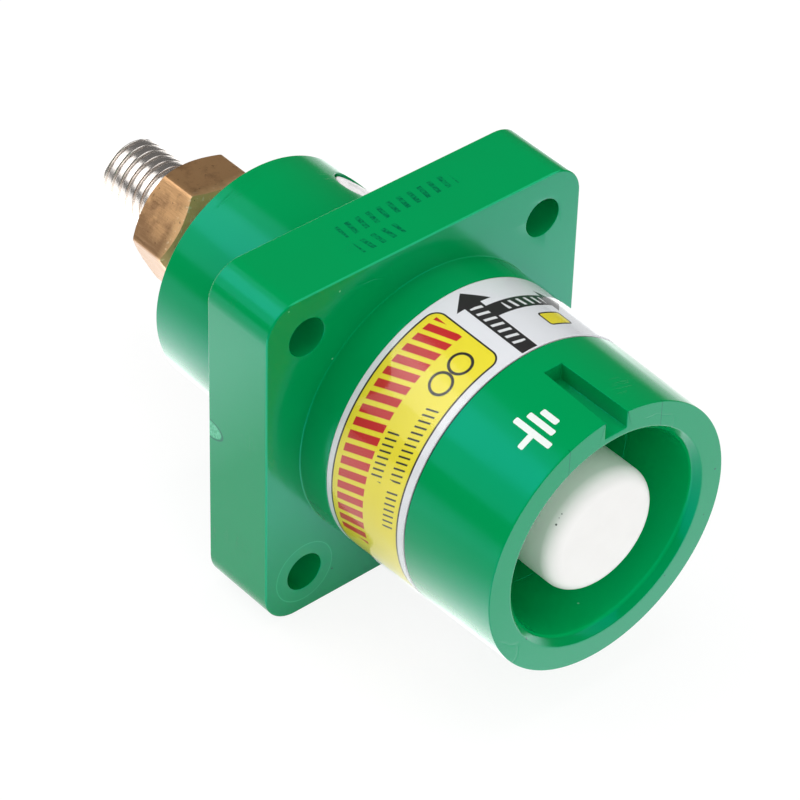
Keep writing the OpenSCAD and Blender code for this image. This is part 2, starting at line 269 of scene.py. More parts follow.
# Printed wrap: a band is from angle, to angle, from station, to station, with 90 degrees at the top
art = {
    "radius": 22.1, "paper": ((0.86, 0.86, 0.87), (0.8, 0.8, 0.82)),
    "yellow": ((0.92, 0.8, 0.03), (0.88, 0.74, 0.02)), "black": (0.022, 0.02, 0.02),
    "red": (0.62, 0.012, 0.012), "arrowInk": (0.03, 0.028, 0.028), "tickInk": (0.8, 0.8, 0.8),
    "outline": 0.14, "ringLine": 0.22, "badgeLine": 0.15,  # half a line's width
    "panel": (100.3, 232.0, 19.75, 33.35), "panelCorner": 1.9,
    "word": (103.0, 200.0, 20.9, 26.3), "wordPitch": 2.05, "wordShare": 0.62, "slant": 0.3,
    "rules": ((145.0, 165.0, 26.9, 28.9), (129.5, 161.0, 30.3, 32.3), (164.0, 181.0, 30.4, 32.4)),
    "rulePitch": 0.95, "ruleShare": 0.3,
    "rings": ((107.1, 115.9, 27.9, 31.3), (117.1, 125.9, 27.9, 31.3)), "ringCorner": 1.69,
    "arrows": (
        {"shaft": (86.0, 93.3, 22.4, 34.5), "ticks": (87.2, 92.1, 23.0, 32.6), "lengthwise": True,
         "tip": (89.0, 19.5), "wide": 6.2, "length": 3.0},
        {"shaft": (57.0, 86.5, 23.7, 26.4), "ticks": (60.0, 80.0, 24.2, 25.9), "lengthwise": False,
         "tip": (50.0, 25.05), "wide": 5.6, "length": 3.2},
    ),
    "tickPitch": 1.5, "tickShare": 0.36, "tickSlant": 0.25,
    "badge": (60.5, 71.5, 28.4, 31.4), "badgeCorner": 0.5,
}


def labelMaterial():
    material, tree, shader = newMaterial("labelArtwork")
    x, y, z = millimetres(tree)
    station = calc(tree, "MULTIPLY", y, -1.0)
    arc = calc(tree, "MULTIPLY", calc(tree, "ARCTAN2", x, z), -art["radius"])  # to the left of the top
    degree = math.radians(1) * art["radius"]  # millimetres of arc
    patches = noise(tree, 300.0)
    color = mixedColor(tree, patches, *art["paper"])
    yellow = mixedColor(tree, patches, *art["yellow"])

    def printed(mask, ink):
        nonlocal color
        color = mixedColor(tree, mask, color, ink)

    def band(fromAngle, toAngle, fromStation, toStation, corner=0.06):
        middle = ((fromAngle + toAngle) / 2 * degree - 90 * degree, (fromStation + toStation) / 2)
        half = ((toAngle - fromAngle) / 2 * degree, (toStation - fromStation) / 2)
        return boxDistance(tree, arc, station, middle, half, corner)

    panel = band(*art["panel"], art["panelCorner"])
    printed(inside(tree, panel), yellow)
    printed(onLine(tree, panel, art["outline"]), art["black"])
    bars = stripes(tree, arc, station, art["wordPitch"], art["wordShare"], art["slant"])
    printed(both(tree, inside(tree, band(*art["word"])), bars), art["red"])
    rules = stripes(tree, arc, station, art["rulePitch"], art["ruleShare"], art["slant"])
    for row in art["rules"]:
        printed(both(tree, inside(tree, band(*row)), rules), art["black"])
    for circle in art["rings"]:
        printed(onLine(tree, band(*circle, art["ringCorner"]), art["ringLine"]), art["black"])
    for arrow in art["arrows"]:
        # the head is a triangle: its width grows with the distance from the tip
        along, across = (station, arc) if arrow["lengthwise"] else (arc, station)
        tipArc, tipStation = (arrow["tip"][0] - 90) * degree, arrow["tip"][1]
        tipAlong, tipAcross = (tipStation, tipArc) if arrow["lengthwise"] else (tipArc, tipStation)
        fromTip = calc(tree, "SUBTRACT", along, tipAlong)
        slope = arrow["wide"] / 2 / arrow["length"]
        edge = calc(tree, "SUBTRACT", apart(tree, across, tipAcross), calc(tree, "MULTIPLY", fromTip, slope))
        ticks = stripes(tree, along, across, art["tickPitch"], art["tickShare"], art["tickSlant"])
        printed(inside(tree, band(*arrow["shaft"])), art["arrowInk"])
        printed(both(tree, inside(tree, edge), below(tree, fromTip, arrow["length"])), art["arrowInk"])
        printed(both(tree, inside(tree, band(*arrow["ticks"])), ticks), art["tickInk"])
    badge = band(*art["badge"], art["badgeCorner"])
    printed(inside(tree, badge), yellow)
    printed(onLine(tree, badge, art["badgeLine"]), art["black"])
    tree.links.new(color, shader.inputs["Base Color"])
    tree.links.new(ranged(tree, patches, 0.3, 0.7, 0.4, 0.5), shader.inputs["Roughness"])
    bumped(tree, shader, patches, 0.00001)
    return material


# Clear film: light passes straight through, and a gloss grows towards the edge
clearFilm = {"tint": (0.97, 0.975, 0.98, 1), "rough": (0.06, 0.12), "ior": 1.49}


def filmMaterial():
    material, tree, shader = newMaterial("clearGlossFilm")
    tree.nodes.remove(shader)
    clear = node(tree, "ShaderNodeBsdfTransparent", in_Color=clearFilm["tint"])
    gloss = node(tree, "ShaderNodeBsdfGlossy")
    rough = ranged(tree, noise(tree, 120.0, 2.0), 0.3, 0.7, *clearFilm["rough"])
    tree.links.new(rough, gloss.inputs["Roughness"])
    edge = node(tree, "ShaderNodeFresnel", in_IOR=clearFilm["ior"])
    facing = node(tree, "ShaderNodeNewGeometry")
    outside = calc(tree, "SUBTRACT", 1.0, facing.outputs["Backfacing"])
    mix = node(tree, "ShaderNodeMixShader")
    tree.links.new(both(tree, edge.outputs["Fac"], outside), mix.inputs["Fac"])
    tree.links.new(clear.outputs["BSDF"], mix.inputs[1])
    tree.links.new(gloss.outputs["BSDF"], mix.inputs[2])
    tree.links.new(mix.outputs["Shader"], tree.nodes["Material Output"].inputs["Surface"])
    return material


# Green moulding: saturated plastic with the mould's marks, faint ink, a few specks and scratches, plus
# painted light in the bore, a painted highlight along the flange's front edge and painted shade in the gap by
# the ring
greens = {
    "plain": (0.0, 0.3, 0.08), "deeper": (0.0, 0.278, 0.072), "ink": (0.0, 0.1, 0.045),
    "witness": (0.0, 0.15, 0.045), "cavity": (0.0, 0.44, 0.115), "gapShade": (0.012, 0.014, 0.012),
    "pressed": (0.0, 0.36, 0.11), "washerRim": (0.04, 0.5, 0.2), "edge": (0.03, 0.56, 0.25),
    "gate": (0.16, 0.62, 0.34), "gateRim": (0.0, 0.14, 0.045),
    "darkSpeck": (0.004, 0.05, 0.02), "lightSpeck": (0.18, 0.6, 0.32),
    "specularTint": (0.0, 0.6, 1.0, 1.0),  # keeps red out of the gloss
}
greenMarks = {
    "witnessX": (-8.4, 8.6), "witnessZ": 18.0, "witnessHalf": (0.06, 3.0), "witnessFrom": 51.9,
    "inkRows": (  # middle, half size, slant
        ((1.2, -4.8), (10.4, 1.45), -0.1),
        ((-5.6, -9.0), (3.9, 1.3), 0.1),
    ),
    # ink rows' depth, pitch and share, then the radius and station that bound the painted light in the bore
    "inkDepth": 0.1, "inkPitch": 1.9, "inkShare": 0.42, "cavityR": 17.0, "cavityFrom": 17.0,
    # painted shade in the gap between the wrap and the ring: where it lies and how wide
    "gapShade": ((-34.9, 22.2), (0.14, 0.45)),
    "openGapShade": ((-35.0, 22.3), (0.24, 0.5)), "openFromTo": (4.0, 14.0),
    "washerR": 5.15, "washerLine": 0.06, "edge": ((-12.95, 28.95), (0.17, 0.17)),
    "gateHalf": (3.1, 1.6), "gateZ": 0.9, "gateFill": 0.9, "gateLine": 0.07, "skin": 0.05,
}
specks = (  # place, radius, colour
    ((20.53, -52.3, 1.44), 0.14, greens["darkSpeck"]), ((12.18, -52.3, -14.12), 0.12, greens["darkSpeck"]),
    ((19.07, -52.3, -6.34), 0.1, greens["darkSpeck"]), ((0.76, -46.8, -16.83), 0.16, greens["lightSpeck"]),
    ((-14.35, -52.3, -10.68), 0.2, greens["darkSpeck"]), ((-16.05, -13.0, 27.07), 0.13, greens["lightSpeck"]),
    ((-25.1, -13.0, 27.95), 0.1, greens["lightSpeck"]), ((-17.21, -13.0, 15.69), 0.13, greens["lightSpeck"]),
    ((-16.6, -13.0, -24.2), 0.14, greens["darkSpeck"]),
)


def inkMask(tree, x, y, z, speckle):
    # two rows of faint slanted bars on the flange's top face
    rows = [
        both(tree, inside(tree, boxDistance(tree, x, y, middle, half)),
             stripes(tree, x, y, greenMarks["inkPitch"], greenMarks["inkShare"], slant))
        for middle, half, slant in greenMarks["inkRows"]
    ]
    topFace = inside(tree, calc(tree, "SUBTRACT", flange["half"] - greenMarks["inkDepth"], z), 0.02)
    return both(tree, topFace, calc(tree, "MAXIMUM", *rows), ranged(tree, speckle, 0.4, 0.62, 0.25, 0.85))


def witnessMask(tree, x, y, z):
    # lines of the mould across the ring's front face
    lines = []
    for middle in greenMarks["witnessX"]:
        line = boxDistance(tree, x, z, (middle, greenMarks["witnessZ"]), greenMarks["witnessHalf"])
        nearMouth = inside(tree, calc(tree, "ADD", y, greenMarks["witnessFrom"]), 0.05)
        lines.append(both(tree, inside(tree, line, 0.05), nearMouth))
    return calc(tree, "ADD", *lines)


def gapShadeMask(tree, x, y, fromAxis):
    # painted shade in the gap between the wrap and the ring, a little wider on the right
    gap = inside(tree, boxDistance(tree, y, fromAxis, *greenMarks["gapShade"]))
    openGap = inside(tree, boxDistance(tree, y, fromAxis, *greenMarks["openGapShade"]))
    onRight = ranged(tree, x, *greenMarks["openFromTo"], 0.0, 1.0)
    return calc(tree, "MAXIMUM", gap, both(tree, openGap, onRight))


def washerMasks(tree, x, y, z):
    # what washers have left round the two lower holes: the pressed disc and its rim
    frontFace = below(tree, apart(tree, y, -flange["thick"]), greenMarks["skin"], 0.02)
    lower = both(tree, frontFace, inside(tree, z))
    sides = [calc(tree, "SUBTRACT", calc(tree, "ABSOLUTE", value), flange["pitchHalf"]) for value in (x, z)]
    fromRim = calc(tree, "SUBTRACT", hypotenuse(tree, *sides), greenMarks["washerR"])
    rim = onLine(tree, fromRim, greenMarks["washerLine"], 0.05)
    return both(tree, lower, inside(tree, fromRim, 0.05)), both(tree, lower, rim)


def gateMasks(tree, x, y, z):
    # the scar of the mould's gate on the flange's side: an ellipse and its rim
    onSide = inside(tree, calc(tree, "ADD", x, flange["half"] - greenMarks["skin"]), 0.02)
    halfY, halfZ = greenMarks["gateHalf"]
    upward = calc(tree, "SUBTRACT", z, greenMarks["gateZ"])
    gate = hypotenuse(tree, calc(tree, "DIVIDE", y, halfY), calc(tree, "DIVIDE", upward, halfZ))
    rim = below(tree, apart(tree, gate, 1.0), greenMarks["gateLine"], 0.04)
    return both(tree, onSide, below(tree, gate, greenMarks["gateFill"], 0.05)), both(tree, onSide, rim)


def greenMaterial():
    material, tree, shader = newMaterial("greenMoulding")
    x, y, z = millimetres(tree)
    fromAxis = hypotenuse(tree, x, z)
    patches, speckle = noise(tree, 90.0, 3.0), noise(tree, 2500.0, 2.0)
    color = mixedColor(tree, patches, greens["plain"], greens["deeper"])

    def marked(mask, ink, strength=1.0):
        nonlocal color
        color = mixedColor(tree, calc(tree, "MULTIPLY", mask, strength), color, greens[ink])

    marked(inkMask(tree, x, y, z, speckle), "ink")
    marked(witnessMask(tree, x, y, z), "witness")
    # painted light: the bore's walls are painted a paler green
    deep = inside(tree, calc(tree, "ADD", y, greenMarks["cavityFrom"]), 0.2)
    marked(both(tree, below(tree, fromAxis, greenMarks["cavityR"], 0.1), deep), "cavity")
    # painted shade darkens the gap between the wrap and the ring
    marked(gapShadeMask(tree, x, y, fromAxis), "gapShade")
    pressed, washerRim = washerMasks(tree, x, y, z)
    marked(pressed, "pressed", 0.25)
    marked(washerRim, "washerRim", 0.75)
    # painted highlight: the flange's front edge is painted paler along the top and the left
    upOrLeft = calc(tree, "MAXIMUM", z, calc(tree, "MULTIPLY", x, -1.0))
    marked(inside(tree, boxDistance(tree, y, upOrLeft, *greenMarks["edge"]), 0.05), "edge", 0.45)
    scar, gateRim = gateMasks(tree, x, y, z)
    marked(both(tree, scar, ranged(tree, speckle, 0.35, 0.65, 0.2, 0.8)), "gate")
    marked(gateRim, "gateRim")
    tree.links.new(spotted(tree, color, specks, 0.06), shader.inputs["Base Color"])
    tree.links.new(ranged(tree, patches, 0.3, 0.7, 0.13, 0.19), shader.inputs["Roughness"])
    shader.inputs["Specular Tint"].default_value = greens["specularTint"]
    # scratches: thin lines where a stretched noise crosses its middle, kept to a few spots
    fine = stretchedNoise(tree, (0.5, 0.9, 0.3), (60.0, 900.0, 60.0), 2.0)
    crossing = ranged(tree, apart(tree, fine, 0.5), 0.0, 0.006, 1.0, 0.0)
    scratch = both(tree, crossing, ranged(tree, noise(tree, 70.0, 2.0), 0.62, 0.68, 0.0, 1.0))
    bumped(tree, shader, calc(tree, "SUBTRACT", calc(tree, "MULTIPLY", patches, 0.4), scratch), 0.00003)
    return material


# Brass: a turned and tarnished metal with fine scratches along the flats and darker stains, with painted
# shade on its underside and on one side
brass = {
    "clean": (0.7, 0.4, 0.185), "stained": (0.36, 0.195, 0.09), "paintedUnderShade": (0.3, 0.17, 0.08),
    "paintedSideShade": (0.3, 0.155, 0.07), "brushed": (0.62, 0.4, 0.22), "rubbed": (0.95, 0.6, 0.29),
    "nick": (0.9, 0.7, 0.45), "pit": (0.2, 0.1, 0.045), "rubbedTo": 35.2, "rubbedSoft": 0.8, "metallic": 0.68,
}


def brassMaterial():
    material, tree, shader = newMaterial("tarnishedBrass")
    x, y, z = millimetres(tree)
    stains = node(tree, "ShaderNodeTexNoise", in_Scale=260.0, in_Detail=5.0, in_Roughness=0.62)
    tree.links.new(objectPlace(tree), stains.inputs["Vector"])
    brushed = stretchedNoise(tree, (0.2, 0.0, 0.15), (2600.0, 350.0, 2600.0), 4.0, 0.6)
    fine = noise(tree, 1500.0, 2.0)
    low = ranged(tree, z, 1.0, 6.5, 0.22, -0.05)  # more stain low down
    stained = ranged(tree, calc(tree, "ADD", stains.outputs["Fac"], low), 0.42, 0.62, 0.0, 1.0)
    color = mixedColor(tree, stained, brass["clean"], brass["stained"])
    # painted shade: darker on the underside, and on all but the far left
    color = mixedColor(tree, ranged(tree, z, 1.0, 6.0, 0.62, 0.0), color, brass["paintedUnderShade"])
    color = mixedColor(tree, ranged(tree, x, -5.5, -4.0, 0.0, 0.34), color, brass["paintedSideShade"])
    color = mixedColor(tree, ranged(tree, brushed, 0.5, 0.75, 0.0, 0.22), color, brass["brushed"])
    # rubbed bright with nicks along the front edges, dark pits everywhere
    nearFront = below(tree, y, brass["rubbedTo"], brass["rubbedSoft"])
    color = mixedColor(tree, calc(tree, "MULTIPLY", nearFront, 0.55), color, brass["rubbed"])
    nicks = both(tree, ranged(tree, fine, 0.62, 0.68, 0.0, 0.8), nearFront)
    color = mixedColor(tree, nicks, color, brass["nick"])
    color = mixedColor(tree, ranged(tree, fine, 0.34, 0.28, 0.0, 0.6), color, brass["pit"])
    tree.links.new(color, shader.inputs["Base Color"])
    shader.inputs["Metallic"].default_value = brass["metallic"]
    tree.links.new(ranged(tree, brushed, 0.3, 0.7, 0.3, 0.46), shader.inputs["Roughness"])
    bumped(tree, shader, brushed, 0.00004)
    return material


looks["label_print"] = labelMaterial()
looks["clear_film"] = filmMaterial()
looks["green_moulding"] = greenMaterial()
looks["brass"] = brassMaterial()
slots = {part["node"]: part["material_slot"] for part in frame["record"]["subparts"]}
for name, part in frame["nodes"].items():
    part.data.materials.clear()
    part.data.materials.append(looks[slots[name]])
print("materials made", len(looks))


# Surfaces: a patch is three arrays x, y, z over rows and columns, and whether its columns close
def roundedPath(corners, steps=5):
    # each rounded corner (r, y, rounding) becomes an arc that touches both of its sides
    path = []
    for index, (r, y, rounding) in enumerate(corners):
        here = np.array((r, y))
        if rounding == 0:
            path.append(here[None, :])
            continue
        before = np.array(corners[index - 1][:2]) - here
        after = np.array(corners[index + 1][:2]) - here
        before, after = before / np.linalg.norm(before), after / np.linalg.norm(after)
        half = np.arccos(before @ after) / 2
        middle = here + (before + after) / np.linalg.norm(before + after) * rounding / np.sin(half)
        first = here + before * rounding / np.tan(half) - middle
        last = here + after * rounding / np.tan(half) - middle
        sweep = np.arccos(first @ last / rounding**2)
        t = np.linspace(0, 1, steps + 1)[:, None]
        path.append(middle + (np.sin((1 - t) * sweep) * first + np.sin(t * sweep) * last) / np.sin(sweep))
    return np.concatenate(path).T


def onCylinder(r, degrees, y):
    # x = r cos(angle), z = r sin(angle), round the connector's axis
    r, degrees, y = np.broadcast_arrays(r, degrees, y)
    return r * np.cos(np.radians(degrees)), y, r * np.sin(np.radians(degrees))


def onPlugAxis(u, t, height):
    # u runs round the boss, t along it and height outward, turned by the plug's angle
    c, s = math.cos(math.radians(plug["angle"])), math.sin(math.radians(plug["angle"]))
    u, t, height = np.broadcast_arrays(u, t, height)
    return height * c - u * s, plug["along"] + t, height * s + u * c


def revolved(path, count=192):
    # the path's (r, y) carried round the axis in even steps
    angles = np.arange(count) * 360 / count
    return (*onCylinder(path[0][:, None], angles[None, :], path[1][:, None]), True)


def addPiece(name, patches, slotName, *nodes, sharp=35.0, look=None):
    # each point of a patch makes a face with its neighbours in the next row and column
    points, faces, start = [], [], 0
    for x, y, z, closed in patches:
        rows, columns = x.shape
        points.append(np.stack((x, y, z), -1).reshape(-1, 3))
        i = np.arange(rows - 1)[:, None] * columns
        j = np.arange(columns if closed else columns - 1)[None, :]
        k = (j + 1) % columns
        around = np.stack(np.broadcast_arrays(i + j, i + k, i + columns + k, i + columns + j), -1)
        faces.append(around.reshape(-1, 4) + start)
        start += rows * columns
    mesh = bpy.data.meshes.new(name)
    mesh.from_pydata((np.concatenate(points) * mm).tolist(), [], np.concatenate(faces).tolist())
    shell = bmesh.new()
    shell.from_mesh(mesh)
    bmesh.ops.remove_doubles(shell, verts=shell.verts, dist=1.5e-6)
    bmesh.ops.recalc_face_normals(shell, faces=shell.faces)
    shell.to_mesh(mesh)
    openEdges = sum(1 for edge in shell.edges if len(edge.link_faces) != 2)
    shell.free()
    mesh.shade_smooth()
    mesh.set_sharp_from_angle(angle=math.radians(sharp))
    mesh.materials.append(looks[look or slotName])
    piece = bpy.data.objects.new(name, mesh)
    scene.collection.objects.link(piece)
    even = piece.modifiers.new("even", "WEIGHTED_NORMAL")
    even.keep_sharp = True
    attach(piece, "root")
    if nodes:
        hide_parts(*nodes)
    print("made", name, len(mesh.polygons), "faces,", openEdges, "open edges")


# Housing: the flange's faces and edges, one turned profile, and the boss with its plugged hole
side, cornerR = flange["half"] - flange["edgeR"], flange["cornerR"] - flange["edgeR"]
straight = side - cornerR
perSide, perCorner, perSpoke, perBarrel = 14, 12, 3, 48  # steps in each stretch of an outline
quarterTurn = np.radians(np.linspace(0, 90, perCorner + 1))
barrelTurn = np.radians(np.linspace(90, 0, perBarrel + 1))
upSide = np.linspace(0, straight, perSide + 1)
# a quarter of the flange's outline runs from the x axis up its side, round the corner and to the z axis
outerX = np.concatenate((np.full(perSide, side), straight + cornerR * np.cos(quarterTurn), upSide[::-1][1:]))
outerZ = np.concatenate((upSide[:-1], straight + cornerR * np.sin(quarterTurn), np.full(perSide, side)))
outerNormal = np.concatenate((np.zeros(perSide), quarterTurn, np.full(perSide, math.pi / 2)))
quarters = [(sx, sz) for sx in (-1, 1) for sz in (-1, 1)]
# a hole's columns go to spoke, side, corner, side, spoke and barrel, and change over at these degrees
holeColumns = np.cumsum((0, perSpoke, perSide, perCorner, perSide, perSpoke, perBarrel))
holeDegrees = (-60, -45, 30, 60, 135, 150, 300)
holeAngle = np.radians(np.interp(np.arange(holeColumns[-1] + 1), holeColumns, holeDegrees))
rimTurn = np.radians(np.linspace(0, 90, 6))


def roundHole(r):
    # x = pitch + r cos(angle), z = pitch + r sin(angle), for the hole of one quarter
    return flange["pitchHalf"] + r * np.cos(holeAngle), flange["pitchHalf"] + r * np.sin(holeAngle)


def flangeFace(y, innerR):
    # straight lines from the hole's rim to the outline of each quarter: axis, sides, corner, axis, barrel
    spoke = np.linspace(innerR, side, perSpoke + 1)
    x = np.concatenate((spoke[:-1], outerX, np.zeros(perSpoke), innerR * np.cos(barrelTurn[1:])))
    z = np.concatenate((np.zeros(perSpoke), outerZ, spoke[::-1][1:], innerR * np.sin(barrelTurn[1:])))
    holeX, holeZ = roundHole(flange["holeR"] + flange["holeEdgeR"])
    t = np.linspace(0, 1, 6)[:, None]
    faceX, faceZ = holeX + t * (x - holeX), holeZ + t * (z - holeZ)
    return [(sx * faceX, np.full(faceX.shape, y), sz * faceZ, False) for sx, sz in quarters]


def flangeEdges():
    # a quarter round at both faces, along the outline and round each hole
    turns = np.concatenate((rimTurn, rimTurn[::-1]))[:, None]
    nearFront = np.repeat((1, 0), len(rimTurn))[:, None]
    rise = 1 - np.cos(turns)
    out = flange["edgeR"] * np.sin(turns)
    x, z = outerX + out * np.cos(outerNormal), outerZ + out * np.sin(outerNormal)
    holeX, holeZ = roundHole(flange["holeR"] + flange["holeEdgeR"] * (1 - np.sin(turns)))
    strips = []
    for sx, sz in quarters:
        for edgeX, edgeZ, edgeR in ((x, z, flange["edgeR"]), (holeX, holeZ, flange["holeEdgeR"])):
            y = np.where(nearFront, -flange["thick"] + edgeR * rise, -edgeR * rise)
            strips.append((sx * edgeX, np.broadcast_to(y, edgeX.shape), sz * edgeZ, False))
    return strips


# The window round the plug's hole: which of the boss's columns it spans, and how far it reaches along
window = {"columns": 192, "first": 17, "last": 37, "reach": 6.6, "steps": 12}


def bossSide():
    # a grid of angle and length; in its window, straight lines run from the round hole's rim to the grid
    columns = np.arange(window["columns"] + 1) * 360 / window["columns"]
    first, last = window["first"], window["last"]
    low, high = plug["along"] - window["reach"], plug["along"] + window["reach"]
    outerR, fillet = boss["outerR"], barrel["fillet"]
    foot = roundedPath(((outerR, low, 0), (outerR, 0, fillet), (outerR + fillet, 0, 0)))
    rear = np.linspace(boss["length"] - boss["edgeR"], high, 3)
    patches = [(*onCylinder(outerR, columns[None, :], rear[:, None]), False)]
    patches.append((*onCylinder(foot[0][:, None], columns[None, :], foot[1][:, None]), False))
    beside = np.concatenate((columns[last:-1], columns[: first + 1] + 360))
    along = np.linspace(low, high, window["steps"] + 1)
    patches.append((*onCylinder(outerR, beside[None, :], along[::-1, None]), False))
    across = columns[first : last + 1]
    lastEdge, firstEdge = np.full(len(along) - 1, across[-1]), np.full(len(along) - 1, across[0])
    lowEdge, highEdge = np.full(len(across), low), np.full(len(across) - 1, high)
    edgeAngle = np.concatenate((across, lastEdge, across[::-1][1:], firstEdge))
    edgeAlong = np.concatenate((lowEdge, along[1:], highEdge, along[::-1][1:]))
    phi = np.arctan2(edgeAlong - plug["along"], outerR * np.radians(edgeAngle - plug["angle"]))
    rim = plug["holeR"] + plug["rimR"]
    holeTurn = plug["angle"] + np.degrees(np.arcsin(rim * np.cos(phi) / outerR))
    holeAlong = plug["along"] + rim * np.sin(phi)
    t = np.linspace(0, 1, 6)[:, None]
    wall = onCylinder(outerR, holeTurn + t * (edgeAngle - holeTurn), holeAlong + t * (edgeAlong - holeAlong))
    patches.append((*wall, False))
    # the hole's rounded rim, its wall and its flat seat
    turns = rimTurn[:, None]
    wallR = np.concatenate((plug["holeR"] + plug["rimR"] * (1 - np.sin(turns)), ((plug["holeR"],), (0.0,))))
    top = np.sqrt(outerR**2 - (wallR * np.cos(phi)) ** 2)
    rounded = top[: len(rimTurn)] - plug["rimR"] * (1 - np.cos(turns))
    height = np.concatenate((rounded, np.full((2, len(phi)), plug["seatR"])))
    patches.append((*onPlugAxis(wallR * np.cos(phi), wallR * np.sin(phi), height), False))
    return patches


seatTop = [outsideR(barrel[end]) for end in ("labelFrom", "labelTo")]
# From the barrel's foot over its outside, in through the cavity and out along the boss
turned = roundedPath((
    (barrel["rootR"] + barrel["fillet"], -flange["thick"], 0),
    (barrel["rootR"], -flange["thick"], barrel["fillet"] * 0.97),
    (seatTop[0], -barrel["labelFrom"], 0.15),
    (seatTop[0] - barrel["labelDepth"], -barrel["labelFrom"], 0),
    (seatTop[1] - barrel["labelDepth"], -barrel["labelTo"], 0),
    (barrel["spigotR"], -barrel["labelTo"], 0),
    (barrel["spigotR"], -barrel["spigotEnd"], 0.1),
    (barrel["cavityR"], -barrel["spigotEnd"], 0.1),
    (barrel["cavityR"], -barrel["cavityFloor"], 0.5),
    (barrel["contactR"], -barrel["cavityFloor"], 0.2),
    (barrel["contactR"], -barrel["shoulder"], 0),
    (boss["boreR"], -barrel["shoulder"], 0),
    (boss["boreR"], boss["grooveFrom"], 0),
    (boss["grooveR"], boss["grooveFrom"], 0),
    (boss["grooveR"], boss["grooveTo"], 0),
    (boss["boreR"], boss["grooveTo"], 0),
    (boss["boreR"], boss["length"], 0.3),
    (boss["outerR"], boss["length"], boss["edgeR"]),
    (boss["outerR"], boss["length"] - boss["edgeR"], 0),
))
housingPatches = flangeFace(-flange["thick"], barrel["rootR"] + barrel["fillet"])
housingPatches += flangeFace(0.0, boss["outerR"] + barrel["fillet"])
housingPatches += flangeEdges() + bossSide() + [revolved(turned)]
addPiece("housingMoulding", housingPatches, "green_moulding", "housing")

# Keyed ring: an outline with the keyway in it, carried from the rear edge to the mouth
ring = {
    "keyHalf": 2.0, "keyFloor": 18.92, "keyFrom": 39.4, "keyDraft": 1.7, "edgeR": 0.12, "slotEdgeR": 0.07,
    "slotFillet": 0.15, "rearEdgeR": 0.1, "chamfer": 1.13, "play": 0.05, "plainColumns": 241,
    "mouthR": 18.4, "mouthX": (3.2, 2.9, 2.3, 1.75),  # where the mouth's columns meet those of the keyway
    "rowGaps": (0.4, 0.6, 0.2),  # from the even rows to the rear edge, the keyway's end and the mouth
}


def ringOutline(r, keyed, station):
    # once round the ring; with keyed 1 the top part follows the keyway, with keyed 0 the plain arc
    narrowing = (barrel["front"] - station) * math.tan(math.radians(ring["keyDraft"]))
    half, edge, hollow = ring["keyHalf"] - narrowing, ring["slotEdgeR"], ring["slotFillet"]
    floorZ = ring["keyFloor"] + narrowing
    reach = half + edge
    opening = np.degrees(np.arccos(reach / r))
    main = np.radians(np.linspace(180 - opening, 360 + opening, ring["plainColumns"]))
    top = math.sqrt(r * r - reach * reach) - edge
    low = floorZ + hollow
    # one side of the keyway: rounded edge, wall, hollow foot
    s, c = np.sin(rimTurn), np.cos(rimTurn)
    slotX = np.concatenate((reach - edge * s, np.full(3, half), half - hollow + hollow * c))
    slotZ = np.concatenate((top + edge * c, np.linspace(top, low, 5)[1:-1], low - hollow * s))
    normalX = np.concatenate((-s, np.full(3, -1.0), -c))
    normalZ = np.concatenate((c, np.zeros(3), s))
    floorX = np.linspace(half - hollow, hollow - half, 9)[1:-1]
    x = np.concatenate((slotX, floorX, -slotX[::-1]))
    z = np.concatenate((slotZ, np.full(len(floorX), floorZ), slotZ[::-1]))
    nx = np.concatenate((normalX, np.zeros(len(floorX)), -normalX[::-1]))
    nz = np.concatenate((normalZ, np.ones(len(floorX)), normalZ[::-1]))
    arcX = np.linspace(reach, -reach, len(x))
    arcZ = np.sqrt(r * r - arcX**2)
    x, z = keyed * x + (1 - keyed) * arcX, keyed * z + (1 - keyed) * arcZ
    nx, nz = keyed * nx + (1 - keyed) * arcX / r, keyed * nz + (1 - keyed) * arcZ / r
    return (np.concatenate((r * np.cos(main), x)), np.concatenate((r * np.sin(main), z)),
            np.concatenate((np.cos(main), nx)), np.concatenate((np.sin(main), nz)), main)


def mouthAngles(main):
    # the same columns seen from the mouth: close together below the keyway, even elsewhere
    a, b, c, d = ring["mouthX"]
    oneSide = np.concatenate((np.linspace(a, b, 6), np.linspace(b, c, 5)[1:-1], np.linspace(c, d, 6)))
    x = np.concatenate((oneSide, np.linspace(d, -d, 9)[1:-1], -oneSide[::-1]))
    underKey = np.arccos(x / ring["mouthR"]) + 2 * math.pi
    elsewhere = np.interp(main, (main[0], main[-1]), (underKey[-1] - 2 * math.pi, underKey[0]))
    return np.concatenate((elsewhere, underKey))


keyEdge, keyFoot, rearEdge = ring["slotEdgeR"], ring["slotFillet"], ring["rearEdgeR"]
keyEnd, front = ring["keyFrom"], barrel["front"]
rearGap, keyGap, mouthGap = ring["rowGaps"]
